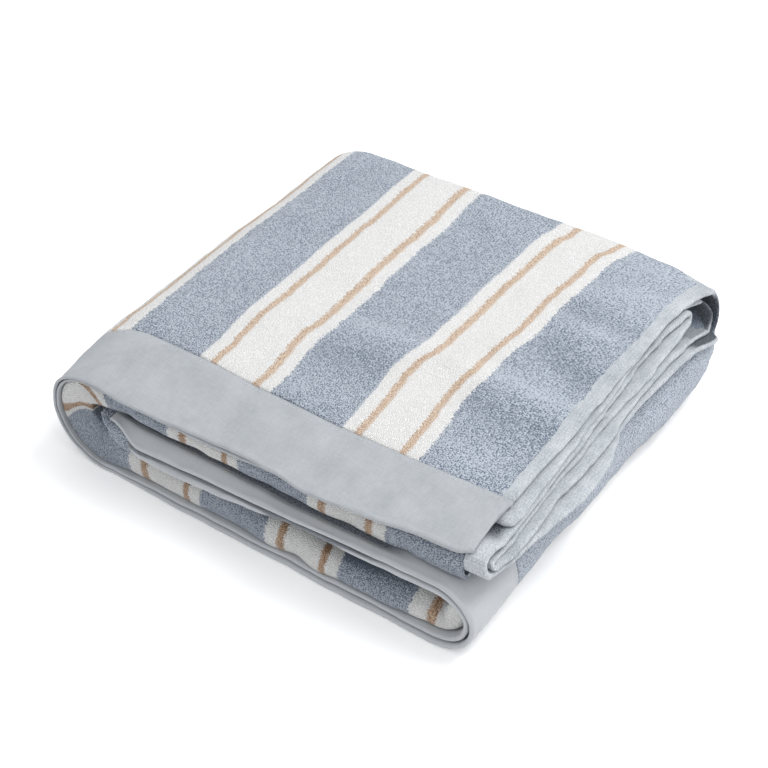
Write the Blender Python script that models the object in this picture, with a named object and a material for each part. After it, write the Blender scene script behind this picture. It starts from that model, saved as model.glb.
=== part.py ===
# Folded beach towel: a terry panel with woven end borders and side hems.
# The towel is folded lengthwise into six plies of about 30 cm, and the stack is
# then folded across in three, so a section across it is a flat spiral:
# top packet, left fold, bottom packet, right fold, middle packet.
# Metres, +Z up, front edge along X at -Y, origin at the bottom centre of the box.

import math

import bmesh
import bpy

MM = 0.001

# Folded heights
TOP_HEIGHT = 81.0 * MM          # top face over the floor, away from the front edge
PLY_PITCH = 4.4 * MM            # one terry ply in the stack
PLY_GAP = 0.6 * MM              # clearance between plies that are separate solids
SEAM_GAP = 0.3 * MM             # clearance side by side at a seam
BORDER_WALL = 3.3 * MM          # woven end border, turned over twice
HEM_WALL = 3.2 * MM             # side hem, turned over twice

# Plan, measured from the middle of the folded towel
LEFT_FOLD_CENTRE_X = -116.0 * MM
RIGHT_FOLD_CENTRE_X = 125.0 * MM
RIGHT_FOLD_RADIUS = 26.9 * MM   # outer radius, around the bottom and middle packets
TERRY_RIGHT_END_X = 128.7 * MM  # terry stops here in the top packet, the hem begins
TERRY_LEFT_END_X = -79.7 * MM   # terry stops here in the middle packet
BORDER_INNER_Y = -106.0 * MM    # line where the woven border meets the terry
RETURN_Y = 112.0 * MM           # the outer ply's return under the back fold ends here
BACK_RADIUS = 13.0 * MM         # rounding of the outer ply's back fold
NOSE_RADIUS = 8.8 * MM          # rounding of the inner plies' front fold

CROSS_STEPS_X = [v * MM for v in (128.7, 110, 80, 45, 10, -25, -55, -79.7, -98, -116)]
TERRY_STEPS_Y = [v * MM for v in (-75, -35, 5, 45, 85, 112, 124)]
LEFT_FOLD_STEPS = 12
RIGHT_FOLD_STEPS = 10
ROUND_STEPS = 6

# Front edges (y in mm) along the spiral. "at" counts its stretches: 0 is the top packet's
# right end, 1 its left end, 2 the bottom packet's left end, 3 its right end, 4 the middle
# packet's right end and 5 its left end; the folds lie between 1 and 2 and between 3 and 4.
FRONT_ROWS = [
    {"at": 0.0, "border_a": -150.0, "border_b": -148.5, "nose": -145.5},
    {"at": 0.35, "border_a": -154.0, "border_b": -151.0, "nose": -147.0},
    {"at": 0.85, "border_a": -153.0, "border_b": -150.0, "nose": -146.0},
    {"at": 1.0, "border_a": -149.0, "border_b": -147.0, "nose": -143.0},
    {"at": 1.5, "border_a": -144.0, "border_b": -142.5, "nose": -139.0},
    {"at": 2.0, "border_a": -147.0, "border_b": -144.5, "nose": -141.0},
    {"at": 2.25, "border_a": -148.5, "border_b": -146.0, "nose": -143.5},
    {"at": 2.55, "border_a": -150.0, "border_b": -147.0, "nose": -145.0},
    {"at": 2.8, "border_a": -153.0, "border_b": -149.0, "nose": -145.0},
    {"at": 3.0, "border_a": -154.0, "border_b": -152.5, "nose": -145.0},
    {"at": 3.5, "border_a": -154.5, "border_b": -154.0, "nose": -145.0},
    {"at": 4.0, "border_a": -155.0, "border_b": -156.0, "nose": -146.0},
    {"at": 5.0, "border_a": -155.0, "border_b": -157.0, "nose": -148.0},
]

# Back fold (y in mm) along the spiral
BACK_ROWS = [
    {"at": 0.0, "back": 146.0},
    {"at": 0.2, "back": 150.0},
    {"at": 2.5, "back": 150.0},
    {"at": 3.0, "back": 152.0},
    {"at": 3.5, "back": 154.0},
    {"at": 4.0, "back": 152.0},
    {"at": 5.0, "back": 150.0},
]
HEM_BACK_INSET = 4.0 * MM       # the right hem's loops draw in from the back fold

# Depth of the six plies (mm) along the spiral: pressed flat, and puffed up to fill the
# inside of the left fold
DEPTH_ROWS = [
    {"at": 1.0, "depth": 26.3},
    {"at": 1.2, "depth": 34.0},
    {"at": 1.5, "depth": 38.3},
    {"at": 1.8, "depth": 34.0},
    {"at": 2.0, "depth": 26.3},
]

# Height of the stack against its full height: rows from front to back (y in mm),
# columns at the left, the middle and the right of the towel
SETTLE_COLUMNS_X = [v * MM for v in (-150, 0, 145)]
SETTLE_ROWS = [
    {"y": -155.0, "left": 0.885, "middle": 0.880, "right": 0.925},
    {"y": -104.0, "left": 0.990, "middle": 0.980, "right": 0.975},
    {"y": -50.0, "left": 0.995, "middle": 1.005, "right": 1.000},
    {"y": 60.0, "left": 0.995, "middle": 0.995, "right": 0.990},
    {"y": 150.0, "left": 1.000, "middle": 0.990, "right": 0.970},
]

# Plies are counted from the outermost, 1; each free edge steps out past the one above
RIGHT_EDGE_X = 145.0 * MM
RIGHT_STEP_ROWS = [
    {"y": -150.0, "step": 1.0},
    {"y": -120.0, "step": 2.6},
    {"y": -85.0, "step": 3.6},
    {"y": -35.0, "step": 3.7},
    {"y": 5.0, "step": 2.3},
    {"y": 90.0, "step": 2.4},
    {"y": 150.0, "step": 2.5},
]
LEFT_EDGE_X = -92.0 * MM
BORDER_STEP = 2.0 * MM          # border B steps out past border A at both free edges
LEFT_STEP_ROWS = [
    {"y": -150.0, "step": 3.6},
    {"y": -90.0, "step": 4.4},
    {"y": 150.0, "step": 4.0},
]
# The folded chain of plies, and the side on which each pair is joined
PLY_CHAIN = [1, 6, 3, 4, 5, 2]
CHAIN_FOLDS = ["back", "front", "back", "front", "back"]
# How far each fold of the chain reaches, against the outermost one on its side (mm)
FOLD_INSET = [0.0, 0.0, 11.0, 7.0, 5.0]

COLOURS = {
    "terry_slate": (0.36, 0.43, 0.52, 1.0),
    "terry_white": (0.86, 0.86, 0.85, 1.0),
    "border_grey_blue": (0.47, 0.53, 0.60, 1.0),
    "border_under": (0.42, 0.48, 0.56, 1.0),
    "hem_pale": (0.62, 0.66, 0.71, 1.0),
    "hem_inner": (0.55, 0.60, 0.66, 1.0),
}


def clear_scene():
    for obj in list(bpy.data.objects):
        bpy.data.objects.remove(obj, do_unlink=True)


def make_collection(name):
    collection = bpy.data.collections.new(name)
    bpy.context.scene.collection.children.link(collection)
    return collection


def fabric_material(name):
    material = bpy.data.materials.new(name)
    material.use_nodes = True
    shader = material.node_tree.nodes["Principled BSDF"]
    shader.inputs["Base Color"].default_value = COLOURS[name]
    shader.inputs["Roughness"].default_value = 0.9
    shader.inputs["Metallic"].default_value = 0.0
    return material


def smooth_step(value):
    value = min(max(value, 0.0), 1.0)
    return value * value * (3.0 - 2.0 * value)


def blend(a, b, amount):
    return a + (b - a) * amount


def read_row(rows, key, place, column):
    """The value of a table's column at a place, eased from row to row."""
    place = min(max(place, rows[0][key]), rows[-1][key])
    for low, high in zip(rows, rows[1:]):
        if place <= high[key]:
            break
    share = (place - low[key]) / (high[key] - low[key])
    return blend(low[column], high[column], smooth_step(share))


def settle_factor(x, y):
    """Height of the pressed stack at a place in plan, against its full height."""
    left, middle, right = (read_row(SETTLE_ROWS, "y", y / MM, side)
                           for side in ("left", "middle", "right"))
    x = min(max(x, SETTLE_COLUMNS_X[0]), SETTLE_COLUMNS_X[-1])
    if x <= SETTLE_COLUMNS_X[1]:
        across = (x - SETTLE_COLUMNS_X[0]) / (SETTLE_COLUMNS_X[1] - SETTLE_COLUMNS_X[0])
        return blend(left, middle, smooth_step(across))
    across = (x - SETTLE_COLUMNS_X[1]) / (SETTLE_COLUMNS_X[2] - SETTLE_COLUMNS_X[1])
    return blend(middle, right, smooth_step(across))


def settle(point):
    x, y, z = point
    return (x, y, z * settle_factor(x, y))


def leg_share(x):
    """How far across the towel a place is, from its left fold to its right fold."""
    return (x - LEFT_FOLD_CENTRE_X) / (RIGHT_FOLD_CENTRE_X - LEFT_FOLD_CENTRE_X)


def spiral_stations(first_x, last_x):
    """Places along the cross-fold spiral, on the outer face of the stack.

    Each is a dictionary with the face's x and z, the inward direction, and "at", its
    place along the spiral as the tables count it.
    """
    stations = []
    middle_z = TOP_HEIGHT / 2
    for x in [first_x] + CROSS_STEPS_X[1:-1]:
        stations.append(dict(x=x, z=TOP_HEIGHT, nx=0.0, nz=-1.0, at=max(1 - leg_share(x), 0.0)))
    for step in range(LEFT_FOLD_STEPS + 1):
        turn = step / LEFT_FOLD_STEPS
        dx, dz = -math.sin(math.pi * turn), math.cos(math.pi * turn)
        stations.append(dict(x=LEFT_FOLD_CENTRE_X + middle_z * dx, z=middle_z + middle_z * dz,
                             nx=-dx, nz=-dz, at=1 + turn))
    for x in reversed(CROSS_STEPS_X[1:-1]):
        stations.append(dict(x=x, z=0.0, nx=0.0, nz=1.0, at=2 + leg_share(x)))
    for step in range(RIGHT_FOLD_STEPS + 1):
        turn = step / RIGHT_FOLD_STEPS
        dx, dz = math.sin(math.pi * turn), -math.cos(math.pi * turn)
        stations.append(dict(x=RIGHT_FOLD_CENTRE_X + RIGHT_FOLD_RADIUS * dx,
                             z=RIGHT_FOLD_RADIUS + RIGHT_FOLD_RADIUS * dz,
                             nx=-dx, nz=-dz, at=3 + turn))
    for x in [x for x in CROSS_STEPS_X[1:] if x > last_x + 1 * MM] + [last_x]:
        stations.append(dict(x=x, z=2 * RIGHT_FOLD_RADIUS, nx=0.0, nz=-1.0,
                             at=5 - leg_share(x)))
    return stations


def front_y(station, edge):
    return read_row(FRONT_ROWS, "at", station["at"], edge) * MM


def back_y(station):
    return read_row(BACK_ROWS, "at", station["at"], "back") * MM


def stack_depth(station):
    return read_row(DEPTH_ROWS, "at", station["at"], "depth") * MM


def on_station(station, y, depth):
    """A point at y, the given depth inside the outer face of the stack."""
    x = station["x"] + station["nx"] * depth
    z = station["z"] + station["nz"] * depth
    return settle((x, y, z))


def back_round(back, centre_depth, radius, start_depth, end_depth):
    """The rounded back of a ply, as y and depth, from one face down to the other."""
    points = []
    for step in range(ROUND_STEPS + 1):
        angle = math.pi * step / ROUND_STEPS
        half = (end_depth - start_depth) / 2
        points.append((back - radius + radius * math.sin(angle),
                       centre_depth - half * math.cos(angle)))
    return points


def loft(name, rings, collection, material):
    """A closed solid through rings of equal length, with its end rings as caps."""
    mesh = bpy.data.meshes.new(name)
    shape = bmesh.new()
    loops = [[shape.verts.new(point) for point in ring] for ring in rings]
    count = len(loops[0])
    for low, high in zip(loops, loops[1:]):
        for i in range(count):
            j = (i + 1) % count
            shape.faces.new((low[i], low[j], high[j], high[i]))
    shape.faces.new(list(reversed(loops[0])))
    shape.faces.new(loops[-1])
    bmesh.ops.recalc_face_normals(shape, faces=shape.faces)
    bmesh.ops.triangulate(shape, faces=shape.faces, quad_method="BEAUTY", ngon_method="EAR_CLIP")
    if shape.calc_volume(signed=True) < 0:
        bmesh.ops.reverse_faces(shape, faces=shape.faces)
    shape.to_mesh(mesh)
    shape.free()
    mesh.shade_smooth()
    mesh.set_sharp_from_angle(angle=math.radians(50))
    obj = bpy.data.objects.new(name, mesh)
    collection.objects.link(obj)
    mesh.materials.append(material)
    return obj


def outer_ply_ring(station):
    """The outer terry ply: over the top, round the back fold, and a short return."""
    back = back_y(station)
    depth = stack_depth(station)
    wall = PLY_PITCH - PLY_GAP
    flat_y = [BORDER_INNER_Y + SEAM_GAP] + TERRY_STEPS_Y
    outer = [(y, 0.0) for y in flat_y[:-1]]
    outer += back_round(back, depth / 2, BACK_RADIUS, 0.0, depth)
    outer += [(RETURN_Y, depth)]
    inner = [(RETURN_Y, depth - wall)]
    inner += reversed(back_round(back - wall, depth / 2, BACK_RADIUS - wall, wall, depth - wall))
    inner += [(y, wall) for y in reversed(flat_y[:-1])]
    return [on_station(station, y, h) for y, h in outer + inner]


def inner_layers_ring(station):
    """The five hidden plies: a stepped front with a rounded nose, and a rounded back."""
    back = back_y(station) - PLY_PITCH
    depth = stack_depth(station)
    under_border = 2 * PLY_PITCH
    step_y = BORDER_INNER_Y + SEAM_GAP
    flat_y = [step_y] + TERRY_STEPS_Y[:-1]
    top = [(y, PLY_PITCH) for y in flat_y]
    rear = back_round(back, depth / 2, BACK_RADIUS - PLY_PITCH, PLY_PITCH, depth - PLY_PITCH)
    rear += [(RETURN_Y - SEAM_GAP, depth - PLY_PITCH)]
    under = [(RETURN_Y - SEAM_GAP, depth)]
    under += [(y, depth) for y in reversed(TERRY_STEPS_Y[:-2])]
    under += [(BORDER_INNER_Y, depth)]
    nose_y = front_y(station, "nose")
    half = (depth - under_border) / 2
    nose = []
    for step in range(ROUND_STEPS + 1):
        angle = math.pi * step / ROUND_STEPS
        nose.append((nose_y + NOSE_RADIUS - NOSE_RADIUS * math.sin(angle),
                     under_border + half + half * math.cos(angle)))
    step_up = [(step_y, under_border)]
    return [on_station(station, y, h) for y, h in top + rear + under + nose + step_up]


def build_outer_ply(collection):
    stations = spiral_stations(TERRY_RIGHT_END_X, TERRY_LEFT_END_X)
    rings = [outer_ply_ring(station) for station in stations]
    return loft("terry_outer_ply", rings, collection, fabric_material("terry_slate"))


def build_inner_layers(collection):
    stations = spiral_stations(TERRY_RIGHT_END_X, TERRY_LEFT_END_X)
    rings = [inner_layers_ring(station) for station in stations]
    return loft("terry_inner_layers", rings, collection, fabric_material("terry_white"))


def build_border(name, edge, ply, right_end, left_end, colour, collection):
    """A woven end border at one ply's front edge, along the whole spiral."""
    depth = (ply - 1) * PLY_PITCH
    stations = spiral_stations(right_end, left_end)
    rings = []
    for station in stations:
        front = front_y(station, edge)
        middle = (front + BORDER_INNER_Y) / 2
        section = [(BORDER_INNER_Y, depth), (BORDER_INNER_Y, depth + BORDER_WALL),
                   (middle, depth + BORDER_WALL), (front, depth + BORDER_WALL),
                   (front, depth), (middle, depth)]
        rings.append([on_station(station, y, h) for y, h in section])
    return loft(name, rings, collection, fabric_material(colour))


def chain_points(back, front):
    """The hem's way through the ply chain: y, depth of its middle, and edge step."""
    rows = []
    straight = [BORDER_INNER_Y + SEAM_GAP] + TERRY_STEPS_Y
    for index, ply in enumerate(PLY_CHAIN):
        depth = (ply - 0.5) * PLY_PITCH
        run = straight if index % 2 == 0 else list(reversed(straight))
        rows += [(y, depth, ply - 1.0) for y in run]
        if index == len(CHAIN_FOLDS):
            break
        target = PLY_CHAIN[index + 1]
        end_depth = (target - 0.5) * PLY_PITCH
        half = abs(end_depth - depth) / 2
        inset = FOLD_INSET[index] * MM
        at_back = CHAIN_FOLDS[index] == "back"
        reach = back - inset - HEM_WALL / 2 if at_back else front + inset + HEM_WALL / 2
        sign = 1.0 if at_back else -1.0
        for step in range(ROUND_STEPS + 1):
            angle = math.pi * step / ROUND_STEPS
            share = step / ROUND_STEPS
            rows.append((reach - sign * half * (1.0 - math.sin(angle)),
                         blend(depth, end_depth, (1.0 - math.cos(angle)) / 2),
                         blend(ply, target, share) - 1.0))
    return rows


def build_hem(name, inner_x, edge_x, outward, step_rows, at, top_z, colour, collection):
    """A side hem: one ribbon through all six plies, its free edge stepping out."""
    back = read_row(BACK_ROWS, "at", at, "back") * MM - HEM_BACK_INSET
    front = read_row(FRONT_ROWS, "at", at, "nose") * MM
    rows = chain_points(back, front)
    rings = []
    for index, (y, depth, step) in enumerate(rows):
        before = rows[max(index - 1, 0)]
        after = rows[min(index + 1, len(rows) - 1)]
        along_y, along_h = after[0] - before[0], after[1] - before[1]
        length = math.hypot(along_y, along_h)
        side_y, side_h = -along_h / length, along_y / length
        half = HEM_WALL / 2
        outer_x = edge_x + outward * read_row(step_rows, "y", y / MM, "step") * MM * step
        ring = []
        for x, side in ((inner_x, half), (outer_x, half), (outer_x, -half), (inner_x, -half)):
            ring.append(settle((x, y + side_y * side, top_z - depth - side_h * side)))
        rings.append(ring)
    return loft(name, rings, collection, fabric_material(colour))


def centre_on_floor(collection):
    """Move the pieces so that the bottom centre of their common box is the origin."""
    points = [obj.matrix_world @ v.co for obj in collection.objects for v in obj.data.vertices]
    middle_x = (min(p.x for p in points) + max(p.x for p in points)) / 2
    middle_y = (min(p.y for p in points) + max(p.y for p in points)) / 2
    for obj in collection.objects:
        obj.location = (-middle_x, -middle_y, 0.0)


def main():
    clear_scene()
    towel = make_collection("beach_towel_folded")
    build_outer_ply(towel)
    build_inner_layers(towel)
    build_border("end_border_a", "border_a", 1, RIGHT_EDGE_X, LEFT_EDGE_X,
                 "border_grey_blue", towel)
    build_border("end_border_b", "border_b", 2, RIGHT_EDGE_X + BORDER_STEP,
                 LEFT_EDGE_X - BORDER_STEP, "border_under", towel)
    build_hem("side_hem_right", TERRY_RIGHT_END_X + SEAM_GAP, RIGHT_EDGE_X, 1.0,
              RIGHT_STEP_ROWS, 0.0, TOP_HEIGHT, "hem_pale", towel)
    build_hem("side_hem_left", TERRY_LEFT_END_X - SEAM_GAP, LEFT_EDGE_X, -1.0,
              LEFT_STEP_ROWS, 5.0, 2 * RIGHT_FOLD_RADIUS, "hem_inner", towel)
    centre_on_floor(towel)


main()
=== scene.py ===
# Folded beach towel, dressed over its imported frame: terry plies, woven end borders,
# side hems and stitches, each as a thin shell with its own cloth finish.
# Lengths are millimetres in the towel's own layout: x to the right, y to the back,
# u along the cloth from its right edge, depth below the outer face of the stack.

import math

import bpy
import numpy as np
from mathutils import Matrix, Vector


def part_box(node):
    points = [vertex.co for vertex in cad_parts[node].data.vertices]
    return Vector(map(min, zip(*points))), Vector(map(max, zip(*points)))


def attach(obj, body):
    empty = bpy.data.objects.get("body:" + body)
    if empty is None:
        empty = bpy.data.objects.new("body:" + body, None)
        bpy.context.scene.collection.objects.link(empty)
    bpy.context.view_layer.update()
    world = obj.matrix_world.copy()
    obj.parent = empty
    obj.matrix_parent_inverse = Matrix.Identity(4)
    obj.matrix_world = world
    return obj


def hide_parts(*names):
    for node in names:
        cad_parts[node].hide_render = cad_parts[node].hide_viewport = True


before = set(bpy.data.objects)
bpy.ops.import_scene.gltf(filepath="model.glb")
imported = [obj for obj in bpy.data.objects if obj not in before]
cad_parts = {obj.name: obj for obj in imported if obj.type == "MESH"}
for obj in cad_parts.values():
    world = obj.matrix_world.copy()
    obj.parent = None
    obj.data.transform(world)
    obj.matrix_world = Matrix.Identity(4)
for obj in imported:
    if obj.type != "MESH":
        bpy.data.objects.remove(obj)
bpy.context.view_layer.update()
print("frame loaded:", sorted(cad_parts))

mm = 0.001
seed = 11
latticeSize = 97  # cells of the soft noise before it repeats

# The towel's folding, the same as in its solids
fold = {
    "topHeight": 81.0,
    "leftX": -116.0,
    "rightX": 125.0,
    "rightRadius": 26.9,
    "plyPitch": 4.4,
    "bandLineY": -106.0,
    "returnY": 112.0,
    "backRadius": 13.0,
    "rightEdgeX": 145.0,
    "terryRightX": 128.7,
    "terryLeftX": -79.7,
    "lowestX": -156.5,
    "highestY": 154.0,
}

terryLow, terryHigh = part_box("terry_outer_ply")
shift = np.array([terryLow[0] / mm - fold["lowestX"], terryHigh[1] / mm - fold["highestY"], 0.0])


def smooth(share):
    share = np.clip(share, 0.0, 1.0)
    return share * share * (3.0 - 2.0 * share)


def mixed(a, b, share):
    return a + (b - a) * share


def readTable(rows, place, column=1):  # eased from row to row
    places = np.array([row[0] for row in rows], float)
    values = np.array([row[column] for row in rows], float)
    place = np.clip(np.asarray(place, float), places[0], places[-1])
    index = np.clip(np.searchsorted(places, place, side="right") - 1, 0, len(places) - 2)
    share = (place - places[index]) / (places[index + 1] - places[index])
    return mixed(values[index], values[index + 1], smooth(share))


def softNoise(a, b, size, salt):  # smooth and even, from -1 to 1
    draws = np.random.RandomState(seed + salt)
    lattice = draws.uniform(-1.0, 1.0, (latticeSize, latticeSize))
    a, b = np.broadcast_arrays(np.asarray(a, float) / size, np.asarray(b, float) / size)
    i, j = np.floor(a).astype(int), np.floor(b).astype(int)
    fa, fb = smooth(a - i), smooth(b - j)
    i0, i1, j0, j1 = (k % latticeSize for k in (i, i + 1, j, j + 1))
    near = mixed(lattice[i0, j0], lattice[i1, j0], fa)
    far = mixed(lattice[i0, j1], lattice[i1, j1], fa)
    return mixed(near, far, fb)


def ripples(a, b, layers):  # soft noise of several heights and sizes, each with its salt
    return sum(height * softNoise(a, b, size, salt) for height, size, salt in layers)


def creaseHeight(a, b, creases):  # soft ridges, or furrows where the height is negative
    total = np.zeros(np.broadcast(a, b).shape)
    for a1, b1, a2, b2, width, height in creases:
        da, db = a2 - a1, b2 - b1
        share = np.clip(((a - a1) * da + (b - b1) * db) / (da * da + db * db), 0.0, 1.0)
        away = np.hypot(a - a1 - share * da, b - b1 - share * db)
        total = total + height * np.exp(-((away / width) ** 2))
    return total


# The lie of the stack

leftRadius = fold["topHeight"] / 2
legLength = fold["rightX"] - fold["leftX"]
leftArc = math.pi * (leftRadius - fold["plyPitch"] / 2)
rightArc = math.pi * (fold["rightRadius"] - fold["plyPitch"] / 2)
turnStarts = np.cumsum([0.0, fold["rightEdgeX"] - fold["leftX"], leftArc, legLength, rightArc])


def spiral(u):
    # the outer face at a place along the cloth: x, z, inward direction, and "at", which
    # counts the stretches from the top packet's right end: left fold 1-2, right fold 3-4
    u = np.asarray(u, float)
    x0 = fold["rightEdgeX"] - u
    left = (u - turnStarts[1]) / leftArc
    x2 = fold["leftX"] + u - turnStarts[2]
    right = (u - turnStarts[3]) / rightArc
    x4 = fold["rightX"] - (u - turnStarts[4])
    leg0, leg2, leg4 = ((x - fold["leftX"]) / legLength for x in (x0, x2, x4))
    parts = [u < turnStarts[1], u < turnStarts[2], u < turnStarts[3], u < turnStarts[4]]
    sinL, cosL = np.sin(np.pi * left), np.cos(np.pi * left)
    sinR, cosR = np.sin(np.pi * right), np.cos(np.pi * right)
    radius = fold["rightRadius"]
    zero = np.zeros_like(u)
    x = np.select(parts, [x0, fold["leftX"] - leftRadius * sinL, x2,
                          fold["rightX"] + radius * sinR], x4)
    z = np.select(parts, [zero + fold["topHeight"], leftRadius * (1 + cosL), zero,
                          radius * (1 - cosR)], zero + 2 * radius)
    nx = np.select(parts, [zero, sinL, zero, -sinR], zero)
    nz = np.select(parts, [zero - 1, -cosL, zero + 1, cosR], zero - 1)
    at = np.select(parts, [np.maximum(1 - leg0, 0.0), 1 + left, 2 + leg2, 3 + right], 5 - leg4)
    return x, z, nx, nz, at


settleRows = [  # y, then height against full height at x -150, 0 and 145
    (-155.0, 0.885, 0.880, 0.925),
    (-104.0, 0.990, 0.980, 0.975),
    (-50.0, 0.995, 1.000, 0.995),
    (60.0, 0.995, 0.995, 0.990),
    (150.0, 1.000, 0.990, 0.970),
]

pressRows = [  # at, share of the plies' thickness left where the left fold squeezes them
    (0.80, 1.0), (0.97, 0.72), (1.20, 0.62), (1.80, 0.62), (2.03, 0.74), (2.25, 1.0),
]

topCreases = [  # x1, y1, x2, y2, width, height over the top face
    (-20.0, -26.0, 60.0, -23.0, 10.0, 1.5),
    (60.0, -23.0, 142.0, -25.0, 10.0, 2.0),
    (-15.0, -52.0, 60.0, -50.0, 13.0, -1.3),
    (60.0, -50.0, 128.0, -52.0, 13.0, -1.5),
    (98.0, 20.0, 134.0, 6.0, 14.0, -1.8),
    (82.0, 46.0, 130.0, 43.0, 9.0, 1.2),
    (82.0, 63.0, 128.0, 62.0, 9.0, -1.0),
    (82.0, 82.0, 126.0, 99.0, 9.0, 1.3),
    (-30.0, 104.0, 40.0, 96.0, 22.0, -0.9),
    (-120.0, 20.0, -60.0, 34.0, 22.0, 0.7),
    (-70.0, -46.0, -28.0, -50.0, 10.0, -0.6),
    (90.0, -84.0, 120.0, -96.0, 10.0, 0.8),
]

paintedTopLight = [  # x1, y1, x2, y2, width, and the painted light of the top face's ridges where positive and the painted shade of its furrows and seam where negative, partly the lie of its brushed pile
    (-20.0, -28.0, 37.0, -21.0, 7.5, 0.55),
    (72.0, -21.0, 142.0, -26.0, 8.0, 0.80),
    (96.0, 50.0, 128.0, 45.0, 6.0, 0.50),
    (84.0, 81.0, 126.0, 100.0, 8.0, 0.45),
    (90.0, 132.0, 136.0, 127.0, 9.0, 0.50),
    (102.0, 116.0, 126.0, 88.0, 20.0, 0.45),
    (86.0, -80.0, 110.0, -94.0, 8.0, 0.30),
    (-136.0, 134.0, -90.0, 137.0, 7.0, 0.30),
    (-12.0, -56.0, 26.0, -53.0, 13.0, -0.85),
    (98.0, 22.0, 130.0, 4.0, 13.0, -1.00),
    (80.0, -44.0, 131.0, -50.0, 12.0, -0.85),
    (82.0, 64.0, 130.0, 62.0, 9.0, -0.60),
    (-8.0, 113.0, 1.0, 100.0, 6.0, -0.40),
    (-136.0, 66.0, -134.0, 18.0, 7.0, -0.25),
    (-112.0, 46.0, -104.0, 38.0, 6.0, -0.30),
    (-15.0, 68.0, 22.0, 60.0, 9.0, -0.25),
    (108.0, 116.0, 118.0, 108.0, 6.0, -0.30),
    (-140.0, -100.0, 135.0, -104.0, 4.0, -0.35),
    (-138.0, -88.0, -90.0, -96.0, 8.0, -0.30),
    (85.0, -66.0, 128.0, -70.0, 9.0, -0.30),
]

bandLineRows = [  # x, how far back the band's inner edge wanders on the top face
    (-140.0, -2.4), (-130.0, 0.4), (-122.0, 3.2), (-112.0, 4.6), (-74.0, 4.8), (-20.0, 1.6),
    (34.0, -0.3), (90.0, 0.1), (120.0, 0.9), (138.0, 1.9),
]


def bandLine(u):  # y of the seam between the terry and its end border
    x = spiral(u)[0]
    onTop = smooth((turnStarts[1] + 45.0 - np.asarray(u)) / 50.0)
    return fold["bandLineY"] + readTable(bandLineRows, x) * onTop


def settled(x, y, z):
    # the stack pressed towards its front edge, with the waves that run through all plies
    columns = [readTable(settleRows, y, column) for column in (1, 2, 3)]
    inner = np.clip(x, -150.0, 145.0)
    factor = np.where(inner <= 0.0, mixed(columns[0], columns[1], smooth((inner + 150.0) / 150.0)),
                      mixed(columns[1], columns[2], smooth(inner / 145.0)))
    wave = creaseHeight(x, y, topCreases) + 0.5 * softNoise(x, y, 38.0, 1)
    return z * (factor + wave / fold["topHeight"] * smooth((z - 20.0) / 60.0))


bulgeRows = [  # y, how far the right fold swells out of line
    (-150.0, 0.0), (-110.0, -0.8), (-62.0, -2.4), (-49.0, -1.2), (-33.0, 1.2), (12.0, 1.6),
    (38.0, 1.8), (54.0, 4.0), (68.0, 5.0), (110.0, 5.2), (124.0, 3.8), (138.0, 0.8), (152.0, -0.6),
]


def lay(u, y, depth, aside=0.0):  # metres in the frame, for places on the stack
    x, z, nx, nz, at = spiral(u)
    x = x + nx * depth + aside
    z = z + nz * depth
    inFold = smooth((x - 95.0) / 50.0) * smooth((4.3 - at) / 0.2) * smooth((at - 2.7) / 0.2)
    x = x + readTable(bulgeRows, y) * inFold
    height = np.maximum(settled(x, y, z), 0.0)
    return (np.stack(np.broadcast_arrays(x, y, height), -1) + shift) * mm


# Meshes

creaseAngle = 70.0  # sharper edges than this are shaded as edges


def placed(name, data):  # a new object, put in the scene
    made = bpy.data.objects.new(name, data)
    bpy.context.scene.collection.objects.link(made)
    return made


def storePlace(mesh, values):  # what the shaders read at each point
    attribute = mesh.attributes.new("clothPlace", "FLOAT_COLOR", "POINT")
    attribute.data.foreach_set("color", values.ravel())


def sheetPiece(name, points, place, material):
    # rows of points, each row a closed ring round the cloth's section, capped at both ends
    rows, ring = points.shape[:2]
    index = np.arange(rows * ring).reshape(rows, ring)
    after = np.roll(index, -1, axis=1)
    quads = np.stack([index[:-1], after[:-1], after[1:], index[1:]], -1).reshape(-1, 4)
    flat = points.reshape(-1, 3)
    a, b, c, d = (flat[quads[:, k]] for k in range(4))
    volume = (np.cross(b, c) * a).sum() + (np.cross(c, d) * a).sum()
    faces = quads.tolist() + [index[0][::-1].tolist(), index[-1].tolist()]
    mesh = bpy.data.meshes.new(name)
    mesh.from_pydata(flat.tolist(), [], faces)
    if volume < 0:
        mesh.flip_normals()
    values = np.zeros((rows * ring, 4), np.float32)
    values[:, : place.shape[-1]] = place.reshape(rows * ring, -1)
    storePlace(mesh, values)
    mesh.shade_smooth()
    mesh.set_sharp_from_angle(angle=math.radians(creaseAngle))
    piece = placed(name, mesh)
    mesh.materials.append(material)
    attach(piece, "root")
    print("made", name, rows * ring, "points")
    return piece


def spread(stops):  # places with a step of their own for each stretch
    places = [stops[0][0]]
    for (low, step), (high, _) in zip(stops, stops[1:]):
        count = max(int(round(abs(high - low) / step)), 1)
        places += [low + (high - low) * (k + 1) / count for k in range(count)]
    return np.array(places)


def ringLength(y, depth):  # distance along a section, from its first point
    step = np.hypot(np.diff(y, axis=1), np.diff(depth, axis=1))
    return np.concatenate([np.zeros((len(y), 1)), np.cumsum(step, axis=1)], axis=1)


# Shaders


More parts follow.
